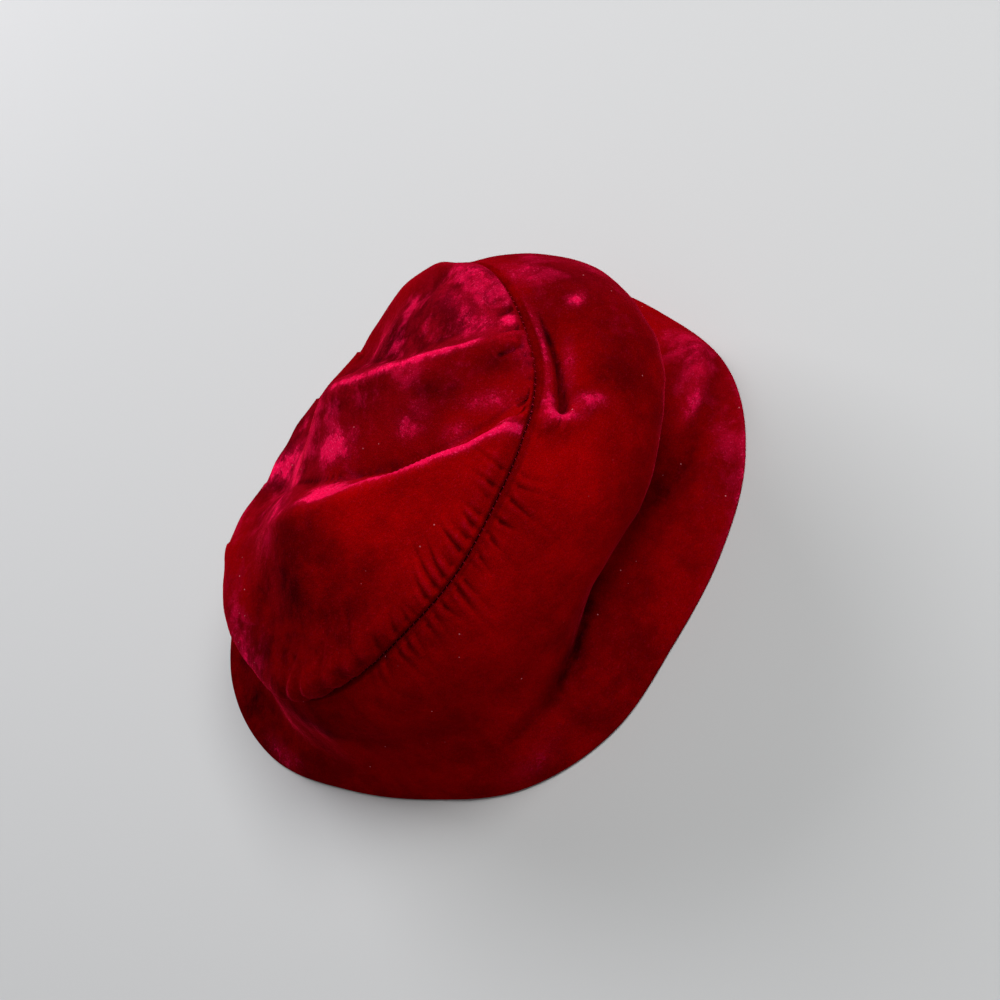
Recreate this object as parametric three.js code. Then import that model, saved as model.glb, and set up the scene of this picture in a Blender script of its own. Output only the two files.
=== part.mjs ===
// A soft velvet cloche hat standing on its brim.
// A puffed top panel is sewn to one side panel, which flares into the brim.
// Millimetres, +Z up, the front of the hat towards -Y. Angles run anticlockwise from +X, seen from above.
import * as THREE from 'three';

// Cloth and seam
const CLOTH = 2; // thickness of the velvet
const SEAM_GAP = 0.3; // between the two turned-in edges
const SEAM_ARM = 4.5; // length over which a panel rolls into the seam
const ALLOWANCE = 8; // depth of the turned-in edges
const HEM_WIDTH_MAX = 3.2; // widest part of the flat edge that rests on a surface
const PLAN_SHIFT = { x: 2.68, y: 2.4 }; // brings the middle of the brim to the origin

// Gathers along the seam
const GATHER_HEIGHT = 1.3;
const GATHER_REACH = 5; // distance from the seam to the highest part of a gather
const COLUMNS_PER_GATHER = 3;

// Spacing of the facets
const FRONT_FROM = 216;
const FRONT_TO = 348;
const FRONT_COLUMNS = 60;
const BACK_COLUMNS = 45;
const SIDE_ROWS = [0, 0.08, 0.17, 0.26, 0.36, 0.47, 0.59, 0.7, 0.8, 0.87, 0.92];
const TOP_ROWS = [0.1, 0.17, 0.25, 0.34, 0.44, 0.55, 0.67, 0.79, 0.91];

// Lengths along the cloth, used to measure folds
const SIDE_LENGTH = 112; // hem to seam
const TOP_LENGTH = 90; // seam to the middle of the crown
const MM_PER_DEGREE = 1.7;
const NORMAL_STEP_DEG = 0.4;
const NORMAL_STEP = 0.004;

const VELVET = new THREE.MeshStandardMaterial({ color: 0x86101c, roughness: 0.95, metalness: 0 });

/** Gives every row of a table its column names. */
function table(columns, rows) {
  return rows.map((row) => Object.fromEntries(columns.map((column, k) => [column, row[k]])));
}

// The side panel: radius and height at the hem, flare of the brim, head-line crease, belly, neck and seam
const SIDE_SECTIONS = table(
  [
    'deg', 'hemR', 'flareR', 'flareZ', 'creaseR', 'creaseZ',
    'bellyR', 'bellyZ', 'neckR', 'neckZ', 'seamR', 'seamZ',
  ],
  [
    [0, 120.5, 113, 10, 100, 18, 110, 49, 99, 78, 80, 97],
    [20, 120, 113, 10, 99, 18, 103, 45, 91, 68, 79, 84],
    [40, 119, 111, 9, 97, 18, 94, 40, 88, 56, 76, 67],
    [60, 116.5, 108, 9, 94, 17, 87, 33, 82, 45, 71, 53],
    [80, 113, 105, 9, 91, 16, 82, 29, 77, 38, 67, 45],
    [100, 111.5, 104, 9, 91, 15, 82, 27, 77, 35, 67, 41],
    [120, 113.5, 106, 8, 95, 14, 87, 25, 82, 33, 72, 39],
    [140, 119.5, 111, 8, 102, 13, 94, 23, 90, 32, 82, 38],
    [160, 127.4, 116, 7, 107, 13, 100, 23, 97, 32, 91, 39],
    [180, 126.3, 117, 7, 109, 13, 104, 24, 101, 33, 96, 42],
    [200, 118.2, 113, 9, 109, 16, 105, 28, 102, 40, 96, 51],
    [220, 115.7, 112, 10, 108, 20, 104, 36, 100, 52, 91, 67],
    [240, 119.4, 115, 11, 109, 25, 102, 45, 97, 64, 86, 82],
    [260, 118.3, 112, 12, 103, 28, 100, 50, 94, 72, 83, 91],
    [280, 112.8, 103, 12, 91, 26, 97, 50, 93, 75, 81, 98],
    [300, 115.4, 104, 11, 87, 22, 103, 50, 98, 77, 80, 99],
    [320, 122.2, 109, 11, 90, 20, 109, 51, 103, 78, 80, 98],
    [340, 125.8, 114, 10, 95, 19, 112, 52, 106, 80, 79, 100],
  ],
);
const SIDE_KNOTS = [0, 0.12, 0.27, 0.52, 0.76, 1];

// The top panel: its rolled rim against the seam, heights on the way to the middle, strength of the gathers
const TOP_SECTIONS = table(
  ['deg', 'rimOut', 'rimUp', 'shoulderZ', 'midZ', 'gather'],
  [
    [0, -3, 5, 105, 107, 0.5],
    [30, -1, 8, 88, 100, 0.4],
    [60, 1, 8.5, 72.5, 94, 0.5],
    [90, 2, 8, 62.5, 91, 0.5],
    [120, 3, 10, 60, 88, 0.5],
    [150, 4, 10, 63, 88, 0.6],
    [180, 2, 9, 66.5, 92, 0.7],
    [210, 3, 9, 79, 95, 0.8],
    [240, -4, 5, 92, 101, 0.9],
    [270, -5, 3, 100, 105, 1],
    [300, -4, 2.5, 104, 108, 0.8],
    [330, -4, 3, 107, 110, 0.5],
  ],
);
const TOP_KNOTS = [0, 0.09, 0.31, 0.63, 1];
const SHOULDER_SHARE = 0.78; // place of the shoulder between the middle and the seam
const MID_SHARE = 0.42;
const CROWN_MIDDLE = { x: 6, y: -8, z: 104 };

// Long folds of the top panel, in plan: three points, widths on either side, heights at the three points
const TOP_FOLDS = table(
  ['name', 'x0', 'y0', 'x1', 'y1', 'x2', 'y2', 'nearWidth', 'farWidth', 'h0', 'h1', 'h2'],
  [
    ['ridge of the front lobe', -66, 40, -17, -33, 46, -69, 26, 7, 2, 8, 4],
    ['valley behind the front lobe', -42, 60, -8, -21, 47, -57, 8, 16, -5, -8, -3],
    ['ridge of the middle lobe', 0, 58, 26, -9, 74, -42, 22, 7, 2, 7, 2.5],
    ['valley behind the middle lobe', 24, 58, 35, 3, 77, -28, 8, 15, -5, -6, -2],
  ],
);
const TOP_FOLD_SHARPNESS = 1.4;

// Folds of the side panel: three points as angle and share of the way from hem to seam
const SIDE_FOLDS = table(
  ['name', 'deg0', 'v0', 'deg1', 'v1', 'deg2', 'v2', 'lowWidth', 'highWidth', 'h0', 'h1', 'h2'],
  [
    ['ridge across the right of the brim', 347, 0.03, 336, 0.15, 320, 0.25, 9, 10, 3, 5, 3],
    ['valley beside that ridge', 333, 0.05, 324, 0.15, 311, 0.24, 11, 9, -2, -4, -2],
    ['tuck beside the seam', 346, 0.95, 328, 0.928, 309, 0.912, 6, 4, 0, -2.5, -3.5],
    ['ridge running on from the front lobe', 305, 0.97, 309, 0.92, 317, 0.82, 5, 5, 3, 2.5, 0],
    ['fold under the left bulge', 203, 0.85, 206, 0.6, 205, 0.25, 8, 10, 0.5, 1.5, 0.5],
    ['dent in the front of the brim', 232, 0.1, 236, 0.3, 244, 0.5, 12, 12, 0, -2.5, 0],
  ],
);
const SIDE_FOLD_SHARPNESS = 2;

/** A smooth value around the hat from sections at equal angles. */
function around(sections, column, deg) {
  const count = sections.length;
  const place = (((deg % 360) + 360) % 360) / (360 / count);
  const k = Math.floor(place);
  const f = place - k;
  const value = (step) => sections[(k + step + count) % count][column];
  const a = value(-1);
  const b = value(0);
  const c = value(1);
  const d = value(2);
  const square = 2 * a - 5 * b + 4 * c - d;
  const cube = 3 * b - a - 3 * c + d;
  return 0.5 * (2 * b + (c - a) * f + square * f * f + cube * f * f * f);
}

/** A smooth value along a section through values at knots. */
function along(knots, values, t, endSlope) {
  const last = knots.length - 1;
  const rise = (k) => (values[k + 1] - values[k]) / (knots[k + 1] - knots[k]);
  const slope = (k) => {
    if (k === 0) {
      return rise(0);
    }
    if (k === last) {
      return endSlope ?? rise(last - 1);
    }
    const before = knots[k] - knots[k - 1];
    const after = knots[k + 1] - knots[k];
    return (rise(k - 1) * after + rise(k) * before) / (before + after);
  };
  let k = 0;
  while (k < last - 1 && t > knots[k + 1]) {
    k += 1;
  }
  const span = knots[k + 1] - knots[k];
  const f = (t - knots[k]) / span;
  const g = f * f;
  const h = g * f;
  const from = (2 * h - 3 * g + 1) * values[k] + (h - 2 * g + f) * slope(k) * span;
  return from + (3 * g - 2 * h) * values[k + 1] + (h - g) * slope(k + 1) * span;
}

/** A parabola through three values at 0, a half and 1. */
function through(start, middle, end, t) {
  const pull = 2 * middle - (start + end) / 2;
  return (1 - t) * (1 - t) * start + 2 * t * (1 - t) * pull + t * t * end;
}

/** Height of a fold at a point: its line is a parabola, its sides fall off smoothly. */
function foldHeight(fold, line, x, y, leftWidth, rightWidth, sharpness) {
  const steps = 20;
  let best = Infinity;
  let side = 1;
  let run = 0;
  for (let k = 0; k < steps; k += 1) {
    const ax = through(line.x0, line.x1, line.x2, k / steps);
    const ay = through(line.y0, line.y1, line.y2, k / steps);
    const bx = through(line.x0, line.x1, line.x2, (k + 1) / steps);
    const by = through(line.y0, line.y1, line.y2, (k + 1) / steps);
    const length = Math.hypot(bx - ax, by - ay);
    const ux = (bx - ax) / length;
    const uy = (by - ay) / length;
    const s = THREE.MathUtils.clamp((x - ax) * ux + (y - ay) * uy, 0, length);
    const distance = Math.hypot(x - ax - s * ux, y - ay - s * uy);
    if (distance < best) {
      best = distance;
      side = ux * (y - ay) - uy * (x - ax);
      run = (k + s / length) / steps;
    }
  }
  const width = side > 0 ? leftWidth : rightWidth;
  return through(fold.h0, fold.h1, fold.h2, run) * Math.exp(-((best / width) ** sharpness));
}

/** Sum of the long folds of the top panel at a point of the plan. */
function topFolds(x, y) {
  return TOP_FOLDS.reduce(
    (sum, fold) => sum + foldHeight(fold, fold, x, y, fold.farWidth, fold.nearWidth, TOP_FOLD_SHARPNESS),
    0,
  );
}

/** Sum of the folds of the side panel. */
function sideFolds(deg, v) {
  return SIDE_FOLDS.reduce((sum, fold) => {
    const x = ((((deg - fold.deg0 + 180) % 360) + 360) % 360 - 180) * MM_PER_DEGREE;
    const line = {
      x0: 0,
      y0: fold.v0 * SIDE_LENGTH,
      x1: (fold.deg1 - fold.deg0) * MM_PER_DEGREE,
      y1: fold.v1 * SIDE_LENGTH,
      x2: (fold.deg2 - fold.deg0) * MM_PER_DEGREE,
      y2: fold.v2 * SIDE_LENGTH,
    };
    const y = v * SIDE_LENGTH;
    return sum + foldHeight(fold, line, x, y, fold.highWidth, fold.lowWidth, SIDE_FOLD_SHARPNESS);
  }, 0);
}

/** Column angles, closer together across the gathered front. */
function columnAngles() {
  const angles = [];
  const front = FRONT_TO - FRONT_FROM;
  for (let k = 0; k < FRONT_COLUMNS; k += 1) {
    angles.push(FRONT_FROM + (front * k) / FRONT_COLUMNS);
  }
  for (let k = 0; k < BACK_COLUMNS; k += 1) {
    angles.push(FRONT_TO + ((360 - front) * k) / BACK_COLUMNS);
  }
  return angles;
}

/** Height of the gathers at a distance from the seam. */
function gathers(deg, column, distance) {
  const wave = Math.cos((2 * Math.PI * column) / COLUMNS_PER_GATHER);
  const reach = (distance / GATHER_REACH) * Math.exp(1 - distance / GATHER_REACH);
  return GATHER_HEIGHT * around(TOP_SECTIONS, 'gather', deg) * wave * reach;
}

/** A point from its angle, radius and height. */
function polar(deg, r, z) {
  const a = THREE.MathUtils.degToRad(deg);
  return new THREE.Vector3(r * Math.cos(a), r * Math.sin(a), z);
}

/** The side panel without folds. */
function sideBase(deg, v) {
  const get = (column) => around(SIDE_SECTIONS, column, deg);
  const radii = ['hemR', 'flareR', 'creaseR', 'bellyR', 'neckR', 'seamR'].map(get);
  const heights = [0, ...['flareZ', 'creaseZ', 'bellyZ', 'neckZ', 'seamZ'].map(get)];
  return polar(deg, along(SIDE_KNOTS, radii, v), along(SIDE_KNOTS, heights, v));
}

/** The top panel with its long folds; u runs from the seam to the middle. */
function topBase(deg, u) {
  const get = (column) => around(TOP_SECTIONS, column, deg);
  const seam = sideBase(deg, 1);
  const seamR = Math.hypot(seam.x, seam.y);
  const shares = [1, 1 + get('rimOut') / seamR, SHOULDER_SHARE, MID_SHARE, 0];
  const heights = [seam.z, seam.z + get('rimUp'), get('shoulderZ'), get('midZ'), CROWN_MIDDLE.z];
  const opposite = around(TOP_SECTIONS, 'midZ', deg + 180);
  const endSlope = (opposite - get('midZ')) / (2 * (1 - TOP_KNOTS[3]));
  const share = along(TOP_KNOTS, shares, u);
  const x = CROWN_MIDDLE.x + (seam.x - CROWN_MIDDLE.x) * share;
  const y = CROWN_MIDDLE.y + (seam.y - CROWN_MIDDLE.y) * share;
  const fade = THREE.MathUtils.smoothstep(u, 0, 0.1);
  return new THREE.Vector3(x, y, along(TOP_KNOTS, heights, u, endSlope) + topFolds(x, y) * fade);
}

/** Outward direction of a panel. */
function outward(panel, deg, t) {
  const across = panel(deg + NORMAL_STEP_DEG, t).sub(panel(deg - NORMAL_STEP_DEG, t));
  const up = panel(deg, Math.min(t + NORMAL_STEP, 1)).sub(panel(deg, Math.max(t - NORMAL_STEP, 0)));
  return across.cross(up).normalize();
}

/** The side panel with its folds, which die out at the hem and the seam. */
function sideFolded(deg, v) {
  const fade = THREE.MathUtils.smoothstep(v, 0, 0.12) * THREE.MathUtils.smoothstep(1 - v, 0, 0.05);
  return sideBase(deg, v).addScaledVector(outward(sideBase, deg, v), sideFolds(deg, v) * fade);
}

/** A pair of points, outside and inside of the cloth, with the gathers on the outside. */
function clothPair(panel, deg, column, t, distance) {
  const normal = outward(panel, deg, t);
  const outer = panel(deg, t).addScaledVector(normal, gathers(deg, column, distance));
  const inner = outer.clone().addScaledVector(normal, -CLOTH);
  return { outer, inner, normal };
}

/** Directions at the seam: into the hat between the turned-in edges, and across them to the top panel. */
function seamDirections(deg) {
  const seam = sideBase(deg, 1);
  const radial = polar(deg, 1, 0);
  const up = new THREE.Vector3(0, 0, 1);
  const flat = (v) => {
    const level = radial.clone().multiplyScalar(v.dot(radial));
    return level.addScaledVector(up, v.dot(up)).normalize();
  };
  const toSide = flat(sideFolded(deg, 1 - SEAM_ARM / SIDE_LENGTH).sub(seam));
  const toTop = flat(topBase(deg, SEAM_ARM / TOP_LENGTH).sub(seam));
  const spread = toSide.clone().sub(toTop);
  const inwards = radial.clone().multiplyScalar(spread.dot(up)).addScaledVector(up, -spread.dot(radial));
  inwards.normalize();
  const acrossTop = toTop.clone().addScaledVector(inwards, -toTop.dot(inwards)).normalize();
  return { seam, inwards, acrossTop };
}

/** The rolled and turned-in edge of a panel, from its last full row to the raw edge. */
function turnedEdge(start, seam, inwards, across) {
  const corner = seam.clone().addScaledVector(across, SEAM_GAP / 2);
  const arm = start.outer.clone().sub(corner).normalize();
  const reach = CLOTH / Math.max(0.5, Math.sin(arm.angleTo(inwards)));
  const innerCorner = corner.clone().addScaledVector(arm, reach).addScaledVector(inwards, reach);
  const face = (depth, lift) => {
    const point = corner.clone().addScaledVector(inwards, depth);
    return point.addScaledVector(across, lift);
  };
  const bend = (from, middle, to) => {
    const ends = from.clone().add(to).multiplyScalar(0.25);
    return ends.addScaledVector(middle, 0.5);
  };
  const rolled = { outer: face(SEAM_ARM, 0), inner: face(SEAM_ARM, CLOTH) };
  return [
    start,
    { outer: bend(start.outer, corner, rolled.outer), inner: bend(start.inner, innerCorner, rolled.inner) },
    rolled,
    { outer: face(ALLOWANCE, 0), inner: face(ALLOWANCE, CLOTH) },
  ];
}

/** One column of the side panel from the flat hem to the turned-in edge. */
function sideColumn(deg, column) {
  const rows = SIDE_ROWS.map((v) => clothPair(sideFolded, deg, column, v, (1 - v) * SIDE_LENGTH));
  const hem = rows[0];
  const lean = hem.normal.dot(polar(deg, 1, 0));
  hem.inner = hem.outer.clone().add(polar(deg, -Math.min(HEM_WIDTH_MAX, CLOTH / lean), 0));
  const start = clothPair(sideFolded, deg, column, 1 - SEAM_ARM / SIDE_LENGTH, SEAM_ARM);
  const { seam, inwards, acrossTop } = seamDirections(deg);
  return rows.concat(turnedEdge(start, seam, inwards, acrossTop.clone().negate()));
}

/** One column of the top panel from the turned-in edge towards the middle. */
function topColumn(deg, column) {
  const start = clothPair(topBase, deg, column, SEAM_ARM / TOP_LENGTH, SEAM_ARM);
  const { seam, inwards, acrossTop } = seamDirections(deg);
  const rows = TOP_ROWS.map((u) => clothPair(topBase, deg, column, u, u * TOP_LENGTH));
  return turnedEdge(start, seam, inwards, acrossTop).reverse().concat(rows);
}

/** A closed shell from columns of point pairs; a pole closes the last row, otherwise it gets an edge. */
function shell(name, columns, pole) {
  const rows = columns[0].length;
  const around360 = columns.length;
  const positions = [];
  const faces = [];
  const outer = (row, col) => row * around360 + (col % around360);
  const inner = (row, col) => (rows + row) * around360 + (col % around360);
  const quad = (a, b, c, d) => faces.push(a, b, c, a, c, d);
  const put = (point) => positions.push(point.x + PLAN_SHIFT.x, point.y + PLAN_SHIFT.y, point.z);
  for (const face of ['outer', 'inner']) {
    for (let row = 0; row < rows; row += 1) {
      columns.forEach((column) => put(column[row][face]));
    }
  }
  for (let col = 0; col < around360; col += 1) {
    for (let row = 0; row < rows - 1; row += 1) {
      quad(outer(row, col), outer(row, col + 1), outer(row + 1, col + 1), outer(row + 1, col));
      quad(inner(row, col + 1), inner(row, col), inner(row + 1, col), inner(row + 1, col + 1));
    }
    quad(outer(0, col + 1), outer(0, col), inner(0, col), inner(0, col + 1));
    const end = rows - 1;
    if (pole) {
      const tip = 2 * rows * around360;
      faces.push(outer(end, col), outer(end, col + 1), tip);
      faces.push(inner(end, col + 1), inner(end, col), tip + 1);
    } else {
      quad(outer(end, col), outer(end, col + 1), inner(end, col + 1), inner(end, col));
    }
  }
  if (pole) {
    put(pole.outer);
    put(pole.inner);
  }
  const geometry = new THREE.BufferGeometry();
  geometry.setAttribute('position', new THREE.Float32BufferAttribute(positions, 3));
  geometry.setIndex(faces);
  geometry.computeVertexNormals();
  const mesh = new THREE.Mesh(geometry, VELVET);
  mesh.name = name;
  return mesh;
}

/** The middle of the top panel, outside and inside. */
function crownPole() {
  const outer = topBase(0, 1);
  return { outer, inner: outer.clone().add(new THREE.Vector3(0, 0, -CLOTH)) };
}

const angles = columnAngles();
const hat = new THREE.Group();
hat.name = 'velvet_cloche_hat';
hat.add(shell('side_brim', angles.map(sideColumn), null));
hat.add(shell('crown_top', angles.map(topColumn), crownPole()));

export default hat;
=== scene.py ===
"""Looks of a soft velvet cloche hat.

Two panels of crushed velvet, a puffed top and a side that flares into the brim, are spun as grids,
draped by moving their vertices, and dressed with pile, painted shade, painted highlights, painted sheen,
seam stitches and a plain studio.
Sizes are in millimetres unless a name says otherwise. Angles are in degrees, anticlockwise from +X.
"""

import logging
import math
from abc import ABC, abstractmethod
from dataclasses import dataclass, replace
from enum import Enum
from typing import Callable, ClassVar

import bmesh
import bpy
import numpy as np
from mathutils import Matrix, Vector


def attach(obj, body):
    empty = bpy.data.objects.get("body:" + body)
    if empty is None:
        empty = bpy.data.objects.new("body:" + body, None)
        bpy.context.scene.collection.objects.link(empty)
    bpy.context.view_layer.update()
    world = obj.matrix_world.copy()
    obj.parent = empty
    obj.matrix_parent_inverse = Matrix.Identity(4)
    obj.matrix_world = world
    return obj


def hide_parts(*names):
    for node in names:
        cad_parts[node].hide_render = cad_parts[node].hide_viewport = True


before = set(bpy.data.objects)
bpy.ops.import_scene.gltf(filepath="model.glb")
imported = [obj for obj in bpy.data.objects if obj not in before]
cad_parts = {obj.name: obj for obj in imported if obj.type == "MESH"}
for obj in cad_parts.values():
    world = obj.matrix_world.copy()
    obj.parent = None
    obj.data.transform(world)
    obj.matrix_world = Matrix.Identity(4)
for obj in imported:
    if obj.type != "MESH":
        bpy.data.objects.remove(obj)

Values = np.ndarray
Pair = tuple[float, float]
Triple = tuple[float, float, float]
Colour = tuple[float, float, float]
Surface = Callable[[Values, Values], Values]
Socket = bpy.types.NodeSocket
LOG = logging.getLogger("cloche")
MM = 0.001
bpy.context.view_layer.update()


class Panel(Enum):
    """The two cloth panels, by the CAD node each one stands for."""

    SIDE = "side_brim"
    TOP = "crown_top"


class Pile(Enum):
    """What a patch does, by the attribute that holds it: lays the pile one way and paints sheen,
    crushes it flat and paints highlights, or paints shade and light.
    """

    BRUSHED_AND_SHEEN = "nap_and_sheen"
    PRESSED_AND_HIGHLIGHT = "press_and_highlight"
    SHADED = "shade"


def smoothstep(value: Values, low: float, high: float) -> Values:
    """A soft step from 0 at low to 1 at high."""
    t = np.clip((value - low) / (high - low), 0.0, 1.0)
    return t * t * (3.0 - 2.0 * t)


def unit(vectors: Values) -> Values:
    """The vectors at length one."""
    return vectors / np.maximum(np.linalg.norm(vectors, axis=-1, keepdims=True), 1e-9)


def turn(deg: Values) -> Values:
    """An angle brought to -180 to 180 degrees."""
    return np.mod(deg + 180.0, 360.0) - 180.0


def polar(deg: Values, radius: Values, height: Values) -> Values:
    """Points from angle, radius and height.

    Args:
        deg: Angles in degrees.
        radius: Distances from the axis.
        height: Heights above the hem.

    Returns:
        Points with the three coordinates on the last axis.
    """
    a = np.radians(deg)
    return np.stack(np.broadcast_arrays(radius * np.cos(a), radius * np.sin(a), height), axis=-1)


def parabola(values: Triple, t: Values | float) -> Values | float:
    """A parabola through three values at 0, a half and 1."""
    start, middle, end = values
    pull = 2.0 * middle - (start + end) / 2.0
    return (1 - t) * (1 - t) * start + 2 * t * (1 - t) * pull + t * t * end


def along(
    knots: tuple[float, ...], values: list[Values], t: Values, end_slope: Values | None = None
) -> Values:
    """A smooth value along a section through values at knots.

    Args:
        knots: Places of the values on the way from 0 to 1.
        values: One array for each knot.
        t: Where to read the section.
        end_slope: Slope at the last knot, where it isn't that of the last span.

    Returns:
        The values at t.
    """
    spans = [b - a for a, b in zip(knots, knots[1:])]
    rises = [(b - a) / s for a, b, s in zip(values, values[1:], spans)]
    slopes = [rises[0]]
    for k in range(1, len(spans)):
        slopes.append((rises[k - 1] * spans[k] + rises[k] * spans[k - 1]) / (spans[k - 1] + spans[k]))
    slopes.append(rises[-1] if end_slope is None else end_slope)
    result = np.zeros(np.broadcast(t, values[0]).shape)
    for k, span in enumerate(spans):
        f = (t - knots[k]) / span
        g, h = f * f, f * f * f
        piece = (2 * h - 3 * g + 1) * values[k] + (h - 2 * g + f) * slopes[k] * span
        piece = piece + (3 * g - 2 * h) * values[k + 1] + (h - g) * slopes[k + 1] * span
        result = piece if k == 0 else np.where(t > knots[k], piece, result)
    return result


@dataclass(frozen=True)
class SectionTable:
    """Sizes at equal angles round the hat, in named columns."""

    columns: tuple[str, ...]
    rows: tuple[tuple[float, ...], ...]

    def at(self, column: str, deg: Values) -> Values:
        """A smooth value of one column round the hat."""
        values = np.array([row[self.columns.index(column)] for row in self.rows], float)
        count = len(values)
        place = np.mod(deg, 360.0) / (360.0 / count)
        k = np.floor(place).astype(int)
        f = place - k
        a, b, c, d = (values[(k + step) % count] for step in (-1, 0, 1, 2))
        square, cube = 2 * a - 5 * b + 4 * c - d, 3 * b - a - 3 * c + d
        return 0.5 * (2 * b + (c - a) * f + square * f**2 + cube * f**3)


@dataclass(frozen=True)
class Fold:
    """A fold along a parabola through three points, with a height at each of them."""

    LINE_STEPS: ClassVar[int] = 24
    CREST_FADES: ClassVar[Pair] = (0.15, 0.08)

    name: str
    points: tuple[Pair, Pair, Pair]
    right_width: float
    left_width: float
    heights: Triple
    sharpness: float = 2.0

    def near(self, x: Values, y: Values) -> tuple[Values, Values, Values]:
        """The nearest place on the fold's line.

        Args:
            x: First plan coordinates.
            y: Second plan coordinates.

        Returns:
            Distance, side (positive on the left) and share of the way along the line.
        """
        xs, ys = (tuple(p[k] for p in self.points) for k in (0, 1))
        best, side, run = np.full(x.shape, np.inf), np.ones(x.shape), np.zeros(x.shape)
        for k in range(self.LINE_STEPS):
            start, end = k / self.LINE_STEPS, (k + 1) / self.LINE_STEPS
            ax, ay = parabola(xs, start), parabola(ys, start)
            bx, by = parabola(xs, end), parabola(ys, end)
            length = math.hypot(bx - ax, by - ay)
            ux, uy = (bx - ax) / length, (by - ay) / length
            s = np.clip((x - ax) * ux + (y - ay) * uy, 0.0, length)
            distance = np.hypot(x - ax - s * ux, y - ay - s * uy)
            closer = distance < best
            best = np.where(closer, distance, best)
            side = np.where(closer, ux * (y - ay) - uy * (x - ax), side)
            run = np.where(closer, (k + s / length) / self.LINE_STEPS, run)
        return best, side, run

    def height(self, x: Values, y: Values) -> Values:
        """How far the fold lifts the cloth at points of its plan."""
        distance, side, run = self.near(x, y)
        width = np.where(side > 0, self.left_width, self.right_width)
        return parabola(self.heights, run) * np.exp(-((distance / width) ** self.sharpness))

    def crest(self, x: Values, y: Values, width: float) -> Values:
        """A soft band, 1 along the fold's line and fading at its ends."""
        distance, _, run = self.near(x, y)
        first, last = self.CREST_FADES
        ends = smoothstep(run, 0.0, first) * smoothstep(1.0 - run, 0.0, last)
        return np.exp(-((distance / width) ** 2)) * ends


@dataclass(frozen=True)
class Unevenness:
    """Gentle unevenness of cloth, summed from waves in seeded directions."""

    LENGTHS: ClassVar[Pair] = (0.65, 1.5)

    wavelength: float
    height: float
    seed: int
    waves: int = 22

    def at(self, points: Values) -> Values:
        """Height at points in space."""
        rng = np.random.default_rng(self.seed)
        heading = unit(rng.normal(size=(self.waves, 3)))
        wave = heading * (2 * math.pi / self.wavelength) * rng.uniform(*self.LENGTHS, (self.waves, 1))
        phase = rng.uniform(0, 2 * math.pi, self.waves)
        total = np.zeros(points.shape[:-1])
        for k in range(self.waves):
            total += np.cos(points @ wave[k] + phase[k])
        return self.height * total * math.sqrt(2.0 / self.waves)


@dataclass(frozen=True)
class PuckerRun:
    """Small puckers that the seam draws into the cloth along a stretch of it."""

    DEPTHS: ClassVar[Pair] = (0.25, 1.3)
    REACHES: ClassVar[Pair] = (0.55, 1.3)
    LEANS: ClassVar[Pair] = (-0.14, 0.14)
    PITCHES: ClassVar[Pair] = (0.7, 1.35)
    SEAM_RISE: ClassVar[Pair] = (0.3, 2.2)
    END_DEGREES: ClassVar[float] = 14.0
    END_SHARE: ClassVar[float] = 0.25
    LIP_OFFSET: ClassVar[float] = 2.3
    LIP_WIDTH: ClassVar[float] = 1.4
    LIP_SHARE: ClassVar[float] = 0.5

    start: float
    end: float
    pitch: float
    depth: float
    length: float
    seed: int
    crease: float = 0.85
    mm_per_degree: float = 1.45

    def height(self, deg: Values, distance: Values) -> Values:
        """Height of the puckers.

        Args:
            deg: Angles round the hat.
            distance: Distances from the seam along the cloth.

        Returns:
            Heights: narrow creases with a soft lip on each side.
        """
        rng = np.random.default_rng(self.seed)
        total = np.zeros(np.broadcast(deg, distance).shape)
        rise = smoothstep(distance, *self.SEAM_RISE)
        lip_offset, lip_width = self.LIP_OFFSET * self.crease, self.LIP_WIDTH * self.crease
        place = self.start
        while place < self.end:
            from_end = min(place - self.start, self.end - place)
            ends = min(1.0, from_end / self.END_DEGREES + self.END_SHARE)
            depth = self.depth * rng.uniform(*self.DEPTHS) * ends
            reach = self.length * rng.uniform(*self.REACHES)
            lean = rng.uniform(*self.LEANS)
            x = turn(deg - place - lean * distance) * self.mm_per_degree
            valley = np.exp(-((x / self.crease) ** 2))
            lips = self.LIP_SHARE * np.exp(-(((np.abs(x) - lip_offset) / lip_width) ** 2))
            total += depth * rise * np.exp(-((distance / reach) ** 2)) * (lips - valley)
            place += self.pitch * rng.uniform(*self.PITCHES)
        return total


@dataclass(frozen=True)
class SeamBeads:
    """Tiny beads between the stitches where the cloth is drawn tight, on the right of the crown."""

    pitch: float = 1.6
    start: float = 300.0
    end: float = 352.0
    fades: Pair = (6.0, 10.0)
    rise: float = 0.28
    from_seam: float = 2.4
    width: float = 1.3

    def height(self, deg: Values, distance: Values) -> Values:
        """Heights at angles round the hat and distances from the seam."""
        first, last = self.fades
        wave = 0.5 + 0.5 * np.cos(2 * math.pi * deg / self.pitch)
        stretch = smoothstep(deg, self.start, self.start + first) * smoothstep(self.end - deg, 0.0, last)
        return self.rise * wave * stretch * np.exp(-(((distance - self.from_seam) / self.width) ** 2))


@dataclass(frozen=True)
class Dab:
    """A soft patch of the pile, of painted shade or of painted light: a place, a size, a stretch along a
    lean in degrees, and a strength.
    """

    EDGE: ClassVar[float] = 2.4

    place: Pair
    size: float
    stretch: float
    lean: float
    strength: float

    def at(self, x: Values, y: Values) -> Values:
        """The patch's strength at distances from its middle."""
        c, s = math.cos(math.radians(self.lean)), math.sin(math.radians(self.lean))
        d = np.hypot((x * c + y * s) / (self.size * self.stretch), (y * c - x * s) / self.size)
        return self.strength * np.exp(-(d**self.EDGE))


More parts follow.
